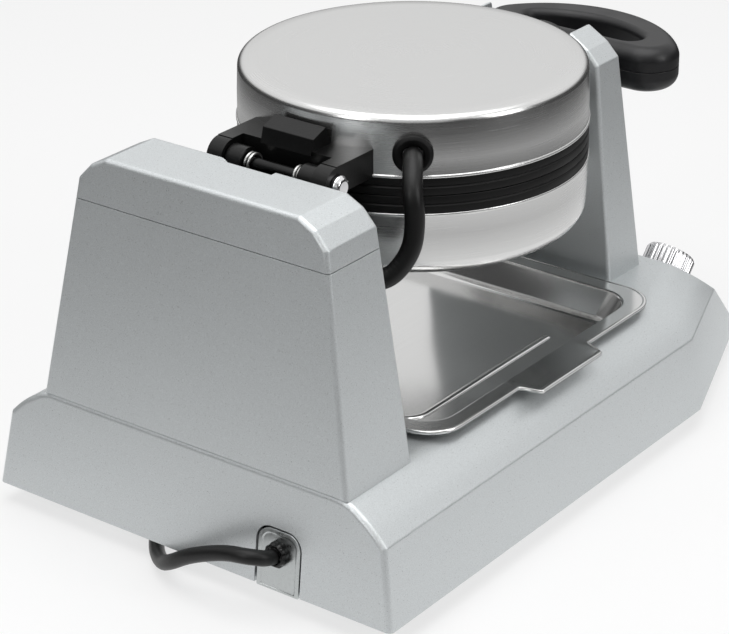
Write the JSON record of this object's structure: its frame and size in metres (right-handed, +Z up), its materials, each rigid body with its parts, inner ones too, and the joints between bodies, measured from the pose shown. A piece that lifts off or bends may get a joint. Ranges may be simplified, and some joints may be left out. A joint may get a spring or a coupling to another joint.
{
  "type": "waffle maker",
  "caption": "Countertop waffle maker whose round head turns over between a rear and a front tower, with a hinged lid, drip tray, dial, switch and mains lead.",
  "frame": {"origin": "centre of the footprint without the lead, on the surface the feet stand on", "axes": "+Z up; -Y towards the handle and the control panel, +Y towards the rear tower and the lead; +X to the right seen from the handle"},
  "size_m": [0.408, 0.4468, 0.2363],
  "materials": {
    "housing_paint": "fine metallic grey paint, satin",
    "cover_steel": "brushed",
    "tray_steel": "bright rolled",
    "black_plastic": "soft gloss",
    "slide_plastic": "matt",
    "hinge_casting": "satin black, lightly textured",
    "zinc_plate": "zinc plated",
    "chrome": "polished",
    "plain_steel": "turned",
    "grid_coating": "dark non-stick coat",
    "element": "heat tinted",
    "board": "matt",
    "rubber": "matt",
    "cord_jacket": "soft satin",
    "plug_plastic": "satin",
    "pin_brass": "plated",
    "inner_plastic": "matt",
    "red_lens": "clear red",
    "green_lens": "clear green",
    "rocker_plastic": "soft gloss"
  },
  "bodies": {
    "base": {"base_housing": "housing_paint", "bottom_plate": "zinc_plate", "feet": "rubber", "foot_screws": "plain_steel", "rear_tower": "housing_paint", "rear_tower_cap": "housing_paint", "rear_bearing": "slide_plastic", "front_tower": "housing_paint", "front_liner": "slide_plastic", "tower_screws": "plain_steel", "cord_plate": "zinc_plate", "cord_gland": "black_plastic", "mains_cord": "cord_jacket", "mains_coil": "cord_jacket", "plug_body": "plug_plastic", "plug_pins": "pin_brass", "terminal_block": "inner_plastic", "thermal_cutout": "inner_plastic", "buzzer": "inner_plastic", "thermostat": "inner_plastic", "dial_plate": "black_plastic", "power_lamp": "red_lens", "ready_lamp": "green_lens", "lamp_bezels": "black_plastic", "switch_frame": "black_plastic"},
    "tray": {"drip_tray": "tray_steel"},
    "dial": {"dial_shaft": "plain_steel", "control_knob": "chrome"},
    "rocker": {"switch_rocker": "rocker_plastic"},
    "head": {"lower_cover": "cover_steel", "lower_ring": "black_plastic", "lower_grid": "grid_coating", "lower_heater": "element", "lower_heat_board": "board", "head_bracket": "hinge_casting", "turning_shaft": "plain_steel", "shaft_collar": "plain_steel", "hinge_pin": "plain_steel", "pin_caps": "chrome", "hinge_springs": "chrome", "lower_hub": "black_plastic", "lower_handle": "black_plastic", "jumper_cord": "cord_jacket", "jumper_gland": "hinge_casting"},
    "lid": {"upper_cover": "cover_steel", "upper_ring": "black_plastic", "upper_grid": "grid_coating", "upper_heater": "element", "upper_heat_board": "board", "lid_hinge_casting": "hinge_casting", "upper_hub": "black_plastic", "upper_handle": "black_plastic", "jumper_grommet": "rubber"}
  },
  "joints": [
    {"name": "head_spin", "type": "hinge", "parent": "base", "child": "head", "pos_m": [0, 0.00559, 0.1914], "axis": [0, 1, 0], "range_deg": [-180, 0]},
    {"name": "lid_hinge", "type": "hinge", "parent": "head", "child": "lid", "pos_m": [0, 0.12799, 0.2065], "axis": [-1, 0, 0], "range_deg": [0, 100], "deforming": ["jumper_cord"]},
    {"name": "tray_lift", "type": "slide", "parent": "base", "child": "tray", "axis": [0, 0, 1], "range_m": [0, 0.02]},
    {"name": "dial_turn", "type": "hinge", "parent": "base", "child": "dial", "pos_m": [-0.0614, -0.17431, 0.04921], "axis": [0, -0.682, 0.7314], "range_deg": [0, 270]},
    {"name": "rocker_tip", "type": "hinge", "parent": "base", "child": "rocker", "pos_m": [0.0614, -0.17295, 0.04774], "axis": [-1, 0, 0], "range_deg": [0, 16]}
  ]
}
